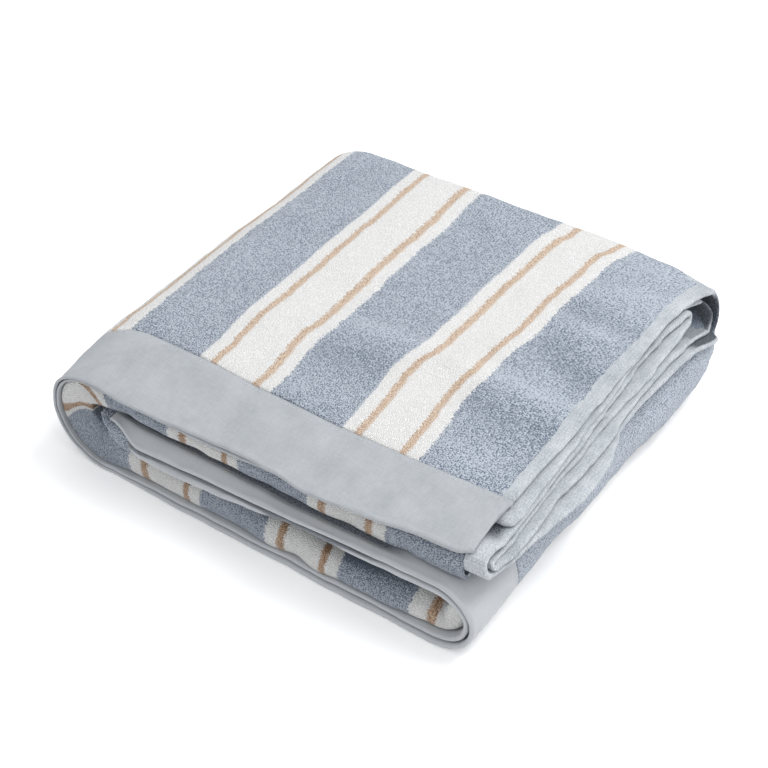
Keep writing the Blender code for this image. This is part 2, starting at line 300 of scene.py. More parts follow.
class Wire:  # a shader socket that sums can be written with
    def __init__(self, tree, socket=None):
        self.tree = tree
        self.socket = socket

    def node(self, kind, settings=None, inputs=None, output=0):
        made = self.tree.nodes.new(kind)
        for name, value in (settings or {}).items():
            if name == "stops":
                ramp = made.color_ramp
                while len(ramp.elements) < len(value):
                    ramp.elements.new(0.5)
                for element, (position, colour) in zip(ramp.elements, value):
                    element.position = position
                    element.color = colour
            else:
                setattr(made, name, value)
        for name, value in (inputs or {}).items():
            if isinstance(value, Wire):
                self.tree.links.new(value.socket, made.inputs[name])
            else:
                made.inputs[name].default_value = value
        return Wire(self.tree, made.outputs[output])

    def maths(self, operation, a, b=0.0):
        return self.node("ShaderNodeMath", {"operation": operation}, {0: a, 1: b})

    def __add__(self, other):
        return self.maths("ADD", self, other)

    def __radd__(self, other):
        return self.maths("ADD", other, self)

    def __sub__(self, other):
        return self.maths("SUBTRACT", self, other)

    def __rsub__(self, other):
        return self.maths("SUBTRACT", other, self)

    def __mul__(self, other):
        return self.maths("MULTIPLY", self, other)

    def __rmul__(self, other):
        return self.maths("MULTIPLY", other, self)

    def __abs__(self):
        return self.maths("ABSOLUTE", self)

    def sine(self):
        return self.maths("SINE", self)

    def wrapped(self, size):  # what is left after whole sizes are taken off
        return self.node("ShaderNodeMath", {"operation": "WRAP"}, {0: self, 1: size, 2: 0.0})

    def step(self, low, high):  # rises softly from 0 at low to 1 at high
        return self.node("ShaderNodeMapRange", {"interpolation_type": "SMOOTHSTEP"},
                         {"Value": self, "From Min": low, "From Max": high})

    def between(self, dark, light):  # a colour from this share
        return self.node("ShaderNodeMix", {"data_type": "RGBA"}, {0: self, 6: dark, 7: light}, 2)

    def scaled(self, sizes):  # a vector against sizes on its axes
        return self.node("ShaderNodeVectorMath", {"operation": "MULTIPLY"},
                         {0: self, 1: tuple(1.0 / size for size in sizes)})

    def leaning(self, wander, reach):  # a place moved by a noise's colour
        return self.node("ShaderNodeVectorMath", {"operation": "MULTIPLY_ADD"},
                         {0: wander, 1: (reach, reach, 0.0), 2: self})

    def stretched(self, sizes):  # noise with a size for each axis
        return self.node("ShaderNodeTexNoise", {},
                         {"Vector": self.scaled(sizes), "Scale": 1.0, "Detail": 2.0})

    def noise(self, size, detail=2.0, output=0):
        return self.node("ShaderNodeTexNoise", {}, {"Vector": self.scaled((size,) * 3),
                                                    "Scale": 1.0, "Detail": detail}, output)


def newMaterial(name, roughness, sheen):
    material = bpy.data.materials.new(name)
    material.use_nodes = True
    tree = material.node_tree
    shader = tree.nodes["Principled BSDF"]
    shader.inputs["Roughness"].default_value = roughness
    shader.inputs["Sheen Weight"].default_value = sheen
    shader.inputs["Sheen Roughness"].default_value = 0.5
    shader.inputs["Specular IOR Level"].default_value = 0.15
    return material, tree, shader


def clothPlace(tree):
    # millimetres along and across the cloth, its painted light and shade (on the top face partly
    # the lie of its pile), and a share of its own
    stored = Wire(tree).node("ShaderNodeAttribute", {"attribute_name": "clothPlace"}, {}, 1)
    parts = stored.node("ShaderNodeSeparateXYZ", {}, {0: stored})
    outputs = parts.socket.node.outputs
    flat = stored.node("ShaderNodeCombineXYZ", {}, {0: parts, 1: Wire(tree, outputs[1])})
    return flat, Wire(tree, outputs[2]), Wire(tree, stored.socket.node.outputs["Alpha"])


def dress(shader, colour, height, strength, distance):  # colour and bump on a finish
    bump = colour.node("ShaderNodeBump", {}, {"Strength": strength, "Distance": distance,
                                              "Height": height})
    colour.tree.links.new(colour.socket, shader.inputs["Base Color"])
    colour.tree.links.new(bump.socket, shader.inputs["Normal"])


def splitPlace(place):
    parts = place.node("ShaderNodeSeparateXYZ", {}, {0: place})
    return parts, Wire(place.tree, parts.socket.node.outputs[1])


terryLook = {
    "slateShade": (0.095, 0.122, 0.165, 1.0),
    "slateTip": (0.510, 0.555, 0.625, 1.0),
    "whiteShade": (0.560, 0.555, 0.540, 1.0),
    "white": (0.800, 0.795, 0.785, 1.0),
    "tanShade": (0.330, 0.225, 0.150, 1.0),
    "tan": (0.690, 0.545, 0.425, 1.0),
    "loopPitch": (1.05, 0.80, 1.0),
    "columnPitch": 1.9,
    # darker, warmer tans for the inner plies, a painted shade
    "shadedTanDark": (0.190, 0.110, 0.062, 1.0),
    "shadedTan": (0.560, 0.390, 0.265, 1.0),
    "pairPitch": 105.7,
    "firstPair": 87.05,
    "tanOffset": 15.4,
    "tanHalf": 2.4,
    "whiteHalf": 26.4,
    # painted shade: the inner plies' whole colour is darkened by this share
    "innerPaintedShade": 0.86,
    "loopLean": 1.2,  # how far loops lean off their rows
    "loopRagged": 1.7,  # how far single loops, and clumps of them, break a stripe's edge
    "clumpRagged": 1.2,
    "whiteSoft": 0.6,
    "tanSoft": 0.8,
    "toneRange": (0.27, 1.10),
    # the loops' share is painted shade in the gaps between them; the last share is painted light
    # and shade passed in with the place
    "tones": {"loop": 0.55, "fibre": 0.16, "cell": 0.46, "clump": 0.12, "patch": 0.12,
              "column": 0.05, "nap": 0.16},
    "heights": {"loop": 0.55, "cell": 0.45, "fibre": 0.25, "clump": 0.35},
    "bumpStrength": 0.8,
    "bumpDistance": 0.0009,
}


def terryMaterial(name, paintedShade):
    look = terryLook
    tones, heights = look["tones"], look["heights"]
    material, tree, shader = newMaterial(name, 0.92, 0.2)
    place, nap, widen = clothPlace(tree)
    along, _ = splitPlace(place)
    wander = place.noise(3.5, 1.0, 1)
    loopPlace = place.leaning(wander, look["loopLean"])
    cells = loopPlace.node("ShaderNodeTexVoronoi", {"voronoi_dimensions": "2D"},
                           {"Vector": loopPlace.scaled(look["loopPitch"]), "Scale": 1.0,
                            "Randomness": 0.8})
    cellTint, _ = splitPlace(Wire(tree, cells.socket.node.outputs["Color"]))
    loop = 1.0 - cells.step(0.12, 0.72)  # 1 on a loop's crown, 0 between loops
    fibre = place.noise(0.45, 2.0)
    clump = place.noise(7.0, 2.0)
    patch = place.noise(30.0, 1.0)

    # stripes: a white stripe with a pair of tan lines, at an even pitch
    ragged = along + (cellTint - 0.5) * look["loopRagged"]
    ragged = ragged + (clump - 0.5) * look["clumpRagged"]
    fromPair = (ragged - (look["firstPair"] - look["pairPitch"] / 2)).wrapped(look["pairPitch"])
    fromPair = abs(fromPair - look["pairPitch"] / 2)
    half, soft = look["whiteHalf"], look["whiteSoft"]
    white = 1.0 - fromPair.step(half - soft, half + soft)
    tanReach = abs(fromPair - look["tanOffset"]) - widen
    half, soft = look["tanHalf"], look["tanSoft"]
    tan = 1.0 - tanReach.step(half - soft, half + soft)
    column = (along * (2 * math.pi / look["columnPitch"])).sine()
    # painted shade darkens the gaps between loops, and the painted light and shade from the place
    # is added last
    tone = loop * tones["loop"] + fibre * tones["fibre"] + cellTint * tones["cell"]
    tone = tone + clump * tones["clump"] + patch * tones["patch"]
    tone = (tone + column * tones["column"] + nap * tones["nap"]).step(*look["toneRange"])
    # the inner copy is a shaded one: its slate, its tans and then its whole colour are darkened
    # with painted shade
    slateTone = tone if paintedShade == 1.0 else (tone - 0.03) * 0.92
    slate = slateTone.between(look["slateShade"], look["slateTip"])
    pale = tone.between(look["whiteShade"], look["white"])
    tans = ("tanShade", "tan") if paintedShade == 1.0 else ("shadedTanDark", "shadedTan")
    brown = tone.between(look[tans[0]], look[tans[1]])
    colour = tan.between(white.between(slate, pale), brown)
    if paintedShade < 1.0:
        colour = colour.node("ShaderNodeVectorMath", {"operation": "MULTIPLY"},
                             {0: colour, 1: (paintedShade, paintedShade, paintedShade)})
    height = loop * (heights["loop"] + cellTint * heights["cell"])
    height = height + fibre * heights["fibre"] + clump * heights["clump"]
    dress(shader, colour, height, look["bumpStrength"], look["bumpDistance"])
    return material


wovenLook = {
    "border": {"dark": (0.235, 0.252, 0.270, 1.0), "light": (0.420, 0.433, 0.452, 1.0),
               "ribPitch": 1.15, "pickPitch": 0.85, "ribDepth": 0.00028},
    "hem": {"dark": (0.175, 0.200, 0.225, 1.0), "light": (0.590, 0.615, 0.640, 1.0),
            "ribPitch": 0.95, "pickPitch": 1.30, "ribDepth": 0.00080},
    # the last share is the painted light and shade passed in with the place
    "tones": {"weave": 0.30, "heather": 0.20, "slub": 0.20, "patch": 0.34, "fibre": 0.20,
              "nap": 0.16},
    "toneRange": (0.28, 0.94),
    "heatherSize": (0.9, 7.0, 1.0),
    "slubSize": (8.0, 0.8, 1.0),
    "hemSpeck": 0.38,
    "threadLean": 0.8,
    "bumpStrength": 0.6,
    # painted shade for hollows, turns and creases
    "paintedCaveDark": (0.028, 0.034, 0.044, 1.0),
    "paintedCaveLight": (0.105, 0.120, 0.145, 1.0),
}


def wovenMaterial(name, kind):
    look, tones = wovenLook[kind], wovenLook["tones"]
    material, tree, shader = newMaterial(name, 0.85, 0.15)
    place, nap, paintedCaveShade = clothPlace(tree)
    wander = place.noise(6.0, 1.0, 1)
    place = place.leaning(wander, wovenLook["threadLean"])
    along, across = splitPlace(place)
    rib = (along * (2 * math.pi / look["ribPitch"])).sine()
    pick = (across * (2 * math.pi / look["pickPitch"])).sine()
    weave = (rib * pick) * 0.25 + pick * 0.12 + rib * 0.10 + 0.5
    heather = place.stretched(wovenLook["heatherSize"])
    slub = place.stretched(wovenLook["slubSize"])
    patch = place.noise(22.0, 3.0)
    fibre = place.noise(0.5, 2.0)
    tone = weave * tones["weave"] + heather * tones["heather"] + slub * tones["slub"]
    tone = tone + patch * tones["patch"] + fibre * tones["fibre"]
    speck = place.noise(1.1, 1.0)
    if kind == "hem":
        tone = tone + (speck - 0.5) * wovenLook["hemSpeck"]
    tone = (tone + nap * tones["nap"]).step(*wovenLook["toneRange"])
    colour = tone.between(look["dark"], look["light"])
    # painted shade where the cloth turns inward, out of the light, and in creases; inside the
    # hem's turns it also stands for the dark slate pile there
    deep = speck.step(0.35, 0.65).between(wovenLook["paintedCaveDark"], wovenLook["paintedCaveLight"])
    colour = paintedCaveShade.between(colour, deep)
    height = weave + fibre * 0.4 + heather * 0.3 + speck * 0.4
    dress(shader, colour, height, wovenLook["bumpStrength"], look["ribDepth"])
    return material


terry = terryMaterial("terryLoops", 1.0)
# a copy darkened with painted shade, for the plies' rounded fronts
shadedInnerTerry = terryMaterial("shadedInnerTerryLoops", terryLook["innerPaintedShade"])
woven = wovenMaterial("wovenBorder", "border")
hemCloth = wovenMaterial("hemCloth", "hem")
print("cloth finishes made")

# Outer terry ply

outerPly = {
    "wall": 3.6,
    "proud": 0.5,  # pile over the woven border beside it
    "fineStep": 1.55,
    "foldStep": 1.8,
    "hiddenStep": 7.0,
    "backSteps": 16,
    "nap": 0.10,
    "waves": ((0.35, 11.0, 2), (0.5, 27.0, 3)),  # height, size, salt
    "hemSideWaves": ((0.35, 2.3, 40), (0.5, 6.0, 41)),
    "edgeRows": ((0.5, 3.4), (0.0, 2.4), (0.05, 1.1), (0.5, 0.35), (1.3, 0.05)),  # y, depth
    "seamOverlap": 0.25,
    "edgeDrop": 1.0,  # how far the terry's right edge rounds down, and over what width
    "edgeWidth": 0.9,
    "innerSteps": 6,
    "insidePaintedShade": 4.0,  # painted shade in the open turn at the back right, and on the fold below it
    "belowPaintedShade": 3.4,
    # painted light on the right fold's turn
    "turnPaintedLight": 0.7,
    "stripeWander": 3.0,
}

backRows = [(0.0, 146.0), (0.2, 150.0), (2.5, 150.0), (3.0, 152.0), (3.4, 154.0), (3.7, 149.5),
            (4.0, 149.0), (5.0, 150.0)]
depthRows = [(1.0, 26.3), (1.2, 34.0), (1.5, 38.3), (1.8, 34.0), (2.0, 26.3)]
bottomRows = [(1.6, 1.0), (1.9, 0.0), (3.1, 0.0), (3.35, 1.0)]  # 0 where it rests on the floor

# How far the tan lines wander sideways over the top face: y, then by line
driftX = [-60.0, -29.3, 47.0, 77.7]
driftRows = [
    (-108.0, 0.9, 3.1, 2.0, 0.2),
    (-96.0, 0.5, 3.6, 1.3, -0.2),
    (-84.0, 0.5, 3.0, 0.5, -1.1),
    (-72.0, -1.3, 1.4, -0.3, -1.9),
    (-60.0, -2.8, -1.0, -2.1, -4.6),
    (-48.0, -4.3, -2.1, -4.4, -6.5),
    (-36.0, -3.3, 1.0, -3.3, -6.1),
    (-24.0, -2.4, 1.4, 1.0, -3.4),
    (-12.0, -3.4, 0.3, 1.0, -4.9),
    (0.0, -3.9, -0.4, 0.4, -4.9),
    (12.0, -3.6, 0.2, 0.9, -3.8),
    (24.0, -4.5, -1.4, 0.9, -2.2),
    (48.0, -4.5, -1.6, 0.1, -1.6),
    (60.0, -5.7, -1.9, 0.2, -3.0),
    (72.0, -4.9, -1.3, 1.0, -2.1),
    (84.0, -5.7, -1.9, 0.8, 0.1),
    (96.0, -6.1, -1.8, 0.9, 0.4),
    (108.0, -7.2, -3.5, 1.3, -0.4),
    (120.0, -7.2, -4.1, 2.3, 0.8),
    (132.0, -8.0, -4.5, 5.5, 5.9),
    (142.0, -8.2, -4.0, 6.0, 8.0),
]

hemInnerRows = [  # y, x where the terry gives way to the right hem's turned strip
    (-106.0, 136.8), (-98.0, 136.7), (-77.0, 136.0), (-47.0, 135.6), (-17.0, 135.2),
    (13.0, 133.6), (43.0, 134.1), (88.0, 134.7), (118.0, 136.3), (138.0, 138.0),
    (146.0, 136.0), (153.0, 131.0),
]

leftDriftRows = [  # y, how far the stripe at the left edge wanders
    (-108.0, 5.0), (-84.0, 4.2), (-60.0, 2.2), (-36.0, 0.4), (0.0, -1.2), (140.0, -1.0),
]


rightEndU = 60.0  # the top packet's right end reaches this far along the cloth


def hemSag(y):  # how far the right edge hangs at the back corner
    return 9.0 * smooth((y - 112.0) / 40.0)


def sagShare(x):  # none of it inside the terry, all of it at the edge
    return smooth((x - 118.0) / 28.0)


def stripeDrift(x, y):
    values = np.stack([readTable(driftRows, y, k) for k in (1, 2, 3, 4)], -1)
    knots = [-150.0, -108.0] + driftX + [140.0]
    drift = np.zeros(np.broadcast(x, y).shape)
    left = readTable(leftDriftRows, y)
    levels = [left, left] + [values[..., k] for k in range(4)] + [values[..., 3] * 0.3]
    for k in range(len(knots) - 1):
        share = np.clip((x - knots[k]) / (knots[k + 1] - knots[k]), 0.0, 1.0)
        inside = (x >= knots[k]) & (x <= knots[k + 1])
        drift = np.where(inside, mixed(levels[k], levels[k + 1], share), drift)
    return drift


def backRound(back, middle, radius, start, end, steps):
    # the rounded back of a ply: y and depth from one face down to the other
    angle = np.pi * np.arange(steps + 1) / steps
    back, middle, start, end = (np.asarray(v)[:, None] for v in (back, middle, start, end))
    return back - radius + radius * np.sin(angle), middle - (end - start) / 2 * np.cos(angle)


def makeOuterPly():
    size = outerPly
    fine, foldStep, hidden = size["fineStep"], size["foldStep"], size["hiddenStep"]
    u = spread([(fold["rightEdgeX"] - fold["terryRightX"], fine), (turnStarts[1], foldStep),
                (turnStarts[2], hidden), (turnStarts[3], foldStep), (turnStarts[4], hidden),
                (turnStarts[4] + fold["rightX"] - fold["terryLeftX"], 1.0)])
    at = spiral(u)[4]
    back = readTable(backRows, at)
    depth = readTable(depthRows, at)
    free = readTable(bottomRows, at)  # the pile stands proud where nothing presses it
    proud = (-size["proud"] * free)[:, None]
    wall = size["wall"]
    ones = np.ones((len(u), 1))
    edge = fold["bandLineY"] - size["seamOverlap"]
    flatY = spread([(edge + 2.4, fine), (back.min() - fold["backRadius"] - 1.0, 1.0)])
    edgeY, edgeDepth = np.array(size["edgeRows"]).T
    edgeY = edge + edgeY
    outY, outDepth = backRound(back + 0.4, depth / 2, fold["backRadius"] + 0.4,
                               proud[:, 0], depth - proud[:, 0], size["backSteps"])
    endY = spread([(fold["returnY"] + 20.0, 6.0), (fold["returnY"], 1.0)])
    inY, inDepth = backRound(back - wall, depth / 2, fold["backRadius"] - wall,
                             0 * depth + wall, depth - wall, size["innerSteps"])
    innerY = spread([(back.min() - fold["backRadius"] - 6.0, 12.0), (edge + 6.0, 1.0)])
    y = np.concatenate([ones * edgeY, ones * flatY, outY, ones * endY,
                        ones * (fold["returnY"] + 1.0), inY[:, ::-1], ones * innerY], 1)
    rings = np.concatenate([ones * edgeDepth + proud, ones * 0 * flatY + proud, outDepth,
                            depth[:, None] + 0 * ones * endY, ones * (depth[:, None] - wall),
                            inDepth[:, ::-1], ones * 0 * innerY + wall], 1)
    outerCount = len(edgeY) + len(flatY) + outY.shape[1]
    uu = u[:, None] + 0 * y
    wave = (bandLine(u) - fold["bandLineY"])[:, None]
    y = y + wave * smooth((edge + 60.0 - y) / 60.0)
    ringPlace = ringLength(y, rings)
    loose = np.zeros(y.shape[1])
    loose[:outerCount] = 1.0
    loose[:3] = 0.0
    rough = size["nap"] * np.random.RandomState(seed).uniform(-1.0, 1.0, y.shape)
    ripple = ripples(uu, ringPlace, size["waves"])
    rings = rings - (rough + ripple) * loose * free[:, None]
    x = spiral(uu)[0]
    # the pile's edge wanders over the hem
    onHem = smooth((x - 92.0) / 36.0) * (uu < turnStarts[1])
    ragged = ripples(y, 0 * y, size["hemSideWaves"])
    aside = (readTable(hemInnerRows, y) + ragged - fold["terryRightX"]) * onHem
    away = (fold["terryRightX"] - x) / size["edgeWidth"]
    rings = rings + size["edgeDrop"] * np.exp(-(away ** 2)) * loose * (uu < rightEndU)
    hang = hemSag(y) * sagShare(x + aside) * (uu < rightEndU)
    points = lay(uu, y, rings + hang, aside)
    onTop = smooth((turnStarts[1] + 40.0 - uu) / 60.0)
    loosely = (1.0 - onTop) * size["stripeWander"] * softNoise(uu, y, 60.0, 4)
    drift = stripeDrift(x, y) * onTop + loosely
    # painted light and shade: along the top face's ridges and furrows, dark in the open turn at
    # the back right and on the fold below it, light on the right fold's turn
    paintedLightShade = creaseHeight(x, y, paintedTopLight) * (uu < turnStarts[1] + 20.0) * loose
    paintedLightShade = paintedLightShade - size["insidePaintedShade"] * (1.0 - loose) * (uu < rightEndU) * (y > 60.0)
    below = smooth((at - 3.62) / 0.12) * smooth((4.25 - at) / 0.15)
    paintedLightShade = paintedLightShade - size["belowPaintedShade"] * below[:, None] * smooth((y - 118.0) / 12.0) * (rings < 4.0)
    onTurn = smooth((at - 3.05) / 0.1) * smooth((3.9 - at) / 0.2)
    paintedLightShade = paintedLightShade + size["turnPaintedLight"] * onTurn[:, None] * loose
    place = np.stack([uu + drift, ringPlace, paintedLightShade], -1)
    piece = sheetPiece("terryOuterPly", points, place, terry)
    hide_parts("terry_outer_ply")


makeOuterPly()

# Inner terry plies: the rounded front of plies 3 to 6

innerPlies = {
    "rightX": 139.0,
    "leftX": -113.5,
    "skin": 2.2,
    "innerBackY": -70.0,
    "step": 1.5,
    "noseSteps": 24,
    "tanWiden": 1.1,  # of the tan lines inside the left fold
    "pinch": 42.0,  # how far the stripes there run together
    "foldSqueeze": 0.72,
    "reachShare": 1.05,
    "reachMost": 11.0,
    "noseRound": (0.62, 0.9),
    "lowRecess": 4.6,  # of the lower packet's front, and what is added near the right turn
    "turnRecess": 4.0,
    "upRecess": 1.6,
    "lowSwell": 0.8,
    "lowShade": 1.1,  # painted shade under the lower front, in its hollow, and inside the left fold
    "hollowShade": 5.0,
    "foldShade": 0.8,
}

noseRows = [  # at, front y, depth of its upper and lower face
    (0.00, -147.6, 7.6, 28.4),
    (0.22, -147.4, 7.6, 27.8),
    (0.40, -147.0, 7.6, 26.2),
    (0.52, -147.3, 7.6, 24.4),
    (0.66, -147.5, 7.6, 22.6),
    (0.85, -148.0, 7.2, 21.6),
    (0.95, -148.5, 6.2, 20.4),
    (1.02, -148.0, 5.7, 22.0),
    (1.12, -147.0, 5.4, 23.4),
    (1.25, -146.0, 5.3, 29.5),
    (1.40, -145.5, 5.3, 36.5),
    (1.55, -145.0, 5.3, 39.6),
    (1.80, -145.5, 5.4, 39.6),
    (2.00, -147.0, 6.2, 39.6),
    (2.06, -148.0, 6.6, 37.6),
    (2.13, -148.5, 7.2, 34.4),
    (2.25, -148.5, 8.0, 33.5),
    (2.40, -149.0, 7.6, 34.2),
    (2.52, -151.0, 7.0, 32.4),
    (2.60, -149.6, 7.8, 31.0),
    (2.68, -151.6, 6.6, 28.5),
    (2.76, -150.6, 7.2, 26.0),
    (2.86, -151.4, 7.4, 26.0),
    (2.94, -150.4, 8.2, 25.4),
    (3.00, -150.0, 8.6, 24.6),
    (3.25, -150.0, 8.6, 24.6),
    (3.50, -149.0, 8.6, 23.0),
    (3.80, -146.0, 8.6, 21.0),
    (4.00, -134.0, 8.6, 20.0),
    (4.45, -134.0, 8.6, 20.0),
    (4.55, -148.5, 8.6, 19.5),
    (4.72, -150.5, 8.6, 19.5),
    (4.86, -151.0, 8.0, 20.5),
    (4.90, -152.0, 4.8, 21.0),
    (4.925, -152.5, 4.4, 19.5),
    (4.95, -152.0, 3.8, 15.5),
    (4.975, -150.0, 1.5, 8.0),
    (4.995, -147.5, -3.5, 1.0),
]
innerStripes = ([0.0, 82.0, 181.0, 256.0, 271.0, 326.0, 333.0, 381.3, 430.4, 531.7, 607.0,
                 640.0, 675.0, 699.9, 916.9, 940.0],
                [5.0, 87.05, 193.0, 272.0, 283.05, 313.85, 324.85, 357.0, 404.15, 509.85, 590.25,
                 618.0, 626.0, 668.0, 884.5, 907.0])

noseCreases = [  # u1, s1, u2, s2, width, height along the rounded front
    (40.0, 34.0, 44.0, 58.0, 5.0, -0.9),
    (86.0, 36.0, 82.0, 60.0, 6.0, -0.8),
    (131.0, 34.0, 137.0, 60.0, 6.0, -1.0),
    (190.0, 34.0, 186.0, 58.0, 7.0, -0.9),
    (236.0, 36.0, 240.0, 62.0, 6.0, -1.2),
]


def makeInnerPlies():
    size = innerPlies
    u = spread([(fold["rightEdgeX"] - size["rightX"], size["step"]),
                (turnStarts[4] + fold["rightX"] - size["leftX"], 1.0)])
    at = spiral(u)[4]
    front = readTable(noseRows, at, 1)[:, None]
    upper = readTable(noseRows, at, 2)[:, None]
    lower = readTable(noseRows, at, 3)[:, None]
    rest = readTable(depthRows, at)[:, None] - 0.4
    rest = np.minimum(rest, lower + 4.0)
    ones = np.ones((len(u), 1))
    middle, half = (upper + lower) / 2, (lower - upper) / 2
    fan = smooth((at - 0.92) / 0.16) * smooth((2.10 - at) / 0.10)
    reach = np.minimum(half * size["reachShare"], size["reachMost"])
    reach = reach * (1.0 - size["foldSqueeze"] * fan[:, None])
    steps = size["noseSteps"]
    angle = np.pi * np.arange(steps + 1) / steps
    # the lower packet's front is shaded at its top and swells out below; the upper one a little
    lowFront = (smooth((at - 2.1) / 0.15) * smooth((3.4 - at) / 0.3))[:, None]
    nearTurn = (smooth((at - 2.62) / 0.2) * smooth((3.3 - at) / 0.2))[:, None]
    recess = (size["lowRecess"] + size["turnRecess"] * nearTurn) * lowFront
    recess = recess * smooth((angle / np.pi - 0.35) / 0.6)
    upFront = (smooth((at - 0.08) / 0.1) * (at < 1.0))[:, None]
    recess = recess + size["upRecess"] * upFront * smooth((0.6 - angle / np.pi) / 0.5)
    inRound, downRound = size["noseRound"]
    noseY = front + reach * (1.0 - np.sin(angle) ** inRound) + recess
    noseY = noseY - size["lowSwell"] * lowFront
    noseDepth = middle - half * np.sign(np.cos(angle)) * np.abs(np.cos(angle)) ** downRound
    topY = ones * spread([(fold["bandLineY"] + 1.0, 4.0), (-128.0, 1.0)])
    backShare = np.array([0.25, 0.5, 0.75, 1.0])
    backY = mixed(front + reach, -118.0, backShare)
    backDepth = mixed(lower, rest, smooth(backShare))
    farY = ones * spread([(-106.0, 12.0), (size["innerBackY"], 1.0)])
    y = np.concatenate([topY, noseY, backY, farY], 1)
    depth = np.concatenate([0 * topY + upper, noseDepth, backDepth, 0 * farY + rest], 1)
    uu = u[:, None] + 0 * y
    ringPlace = ringLength(y, depth)
    onNose = np.zeros(y.shape[1])
    noseColumns = slice(topY.shape[1], topY.shape[1] + steps + 1)
    onNose[noseColumns] = np.sin(angle) ** 0.5
    ripple = 0.4 * softNoise(uu, ringPlace, 8.0, 5)
    ripple = ripple + 0.5 * softNoise(uu, ringPlace * 0.3, 15.0, 6)
    ripple = ripple + creaseHeight(uu, ringPlace, noseCreases)
    tangentY = np.gradient(y, axis=1)
    tangentDepth = np.gradient(depth, axis=1)
    length = np.maximum(np.hypot(tangentY, tangentDepth), 0.01)
    outY, outDepth = tangentDepth / length, -tangentY / length
    sign = np.where(outY[:, topY.shape[1] + steps // 2] < 0, 1.0, -1.0)[:, None]
    outY, outDepth = outY * sign, outDepth * sign
    skinY = y - outY * size["skin"]
    skinDepth = depth - outDepth * size["skin"]
    y = y + outY * ripple * onNose
    depth = depth + outDepth * ripple * onNose
    ringY = np.concatenate([y, skinY[:, ::-2]], 1)
    ringDepth = np.concatenate([depth, skinDepth[:, ::-2]], 1)
    uuRing = u[:, None] + 0 * ringY
    # inside the left fold the stripes run together towards its pinched middle
    inFan = (fan * smooth((1.86 - at) / 0.3))[:, None]
    inward = smooth((ringDepth - upper) / (lower - upper)) * inFan
    stripe = np.interp(uuRing + size["pinch"] * inward, *innerStripes)
    stripe = stripe + 1.2 * softNoise(uuRing, ringY, 25.0, 7)
    wide = size["tanWiden"] * fan[:, None] + 0 * ringY
    # painted shade on the top of the lower front, most in its hollow near the right turn, and
    # inside the left fold
    shaded = np.zeros((len(u), y.shape[1]))
    hollow = np.exp(-(((at - 2.75) / 0.10) ** 2))[:, None]
    dark = (size["lowShade"] + size["hollowShade"] * hollow) * lowFront
    dark = dark * smooth((angle / np.pi - 0.66) / 0.22)
    shaded[:, noseColumns] = -dark - size["foldShade"] * fan[:, None]
    shaded = np.concatenate([shaded, shaded[:, ::-2]], 1)
    alongRing = np.concatenate([ringPlace, ringPlace[:, ::-2]], 1)
    place = np.stack([stripe, alongRing, shaded, wide], -1)
    piece = sheetPiece("terryInnerPlies", lay(uuRing, ringY, ringDepth), place, shadedInnerTerry)
    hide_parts("terry_inner_layers")


makeInnerPlies()

# Stitches

stitchLook = {
    "pitch": 3.1,
    "length": 2.3,
    "width": 0.55,
    "proud": 0.30,
    "sides": 6,
    "rings": ((0.0, 0.2), (0.12, 0.85), (0.5, 1.0), (0.88, 0.85), (1.0, 0.2)),  # share, swell
    "twistPitch": 0.45,
    "dark": (0.330, 0.350, 0.375, 1.0),
    "light": (0.580, 0.600, 0.625, 1.0),
}


def threadMaterial():
    material, tree, shader = newMaterial("sewingThread", 0.6, 0.3)
    place, _, _ = clothPlace(tree)
    along, across = splitPlace(place)
    twist = ((along + across) * (2 * math.pi / stitchLook["twistPitch"])).sine() * 0.5 + 0.5
    tone = twist * 0.5 + place.noise(1.5) * 0.5
    colour = tone.between(stitchLook["dark"], stitchLook["light"])
    dress(shader, colour, twist, 0.4, 0.0001)
    return material


thread = threadMaterial()


def stitchRow(name, path, beside):
    # short threads end to end along a line of points, "beside" a second line on the same cloth
    size = stitchLook
    lengths = np.linalg.norm(np.diff(path, axis=0), axis=1)
    travel = np.concatenate([[0.0], np.cumsum(lengths)]) / mm
    starts = np.arange(0.6, travel[-1] - size["length"], size["pitch"])
    share, swell = np.array(size["rings"]).T
    where = starts[:, None] + share * size["length"]
    centre = np.stack([np.interp(where, travel, path[:, k]) for k in range(3)], -1)
    side = np.stack([np.interp(where, travel, (beside - path)[:, k]) for k in range(3)], -1)
    side = side / np.linalg.norm(side, axis=-1, keepdims=True)
    run = centre[:, -1:] - centre[:, :1] + 0 * centre
    normal = np.cross(run, side)
    normal = normal / np.linalg.norm(normal, axis=-1, keepdims=True)
    turn = 2 * np.pi * np.arange(size["sides"]) / size["sides"]
    cosine, sine = np.cos(turn)[None, None, :, None], np.sin(turn)[None, None, :, None]
    around = side[:, :, None] * cosine * size["width"] / 2
    around = around + normal[:, :, None] * sine * size["proud"]
    points = centre[:, :, None] + around * swell[None, :, None, None] * mm
    count = len(starts)
    shape = (count, len(share), size["sides"])
    index = np.arange(math.prod(shape)).reshape(shape)
    after = np.roll(index, -1, axis=2)
    quads = np.stack([index[:, :-1], index[:, 1:], after[:, 1:], after[:, :-1]], -1).reshape(-1, 4)
    caps = index[:, 0].tolist() + index[:, -1, ::-1].tolist()
    mesh = bpy.data.meshes.new(name)
    mesh.from_pydata(points.reshape(-1, 3).tolist(), [], quads.tolist() + caps)
    values = np.zeros(shape + (4,), np.float32)
    values[..., 0] = where[:, :, None]
    values[..., 1] = turn * 0.1
    storePlace(mesh, values)
    mesh.shade_smooth()
    piece = placed(name, mesh)
    mesh.materials.append(thread)
    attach(piece, "root")
    print("made", name, count, "stitches")
    return piece


# Woven end borders

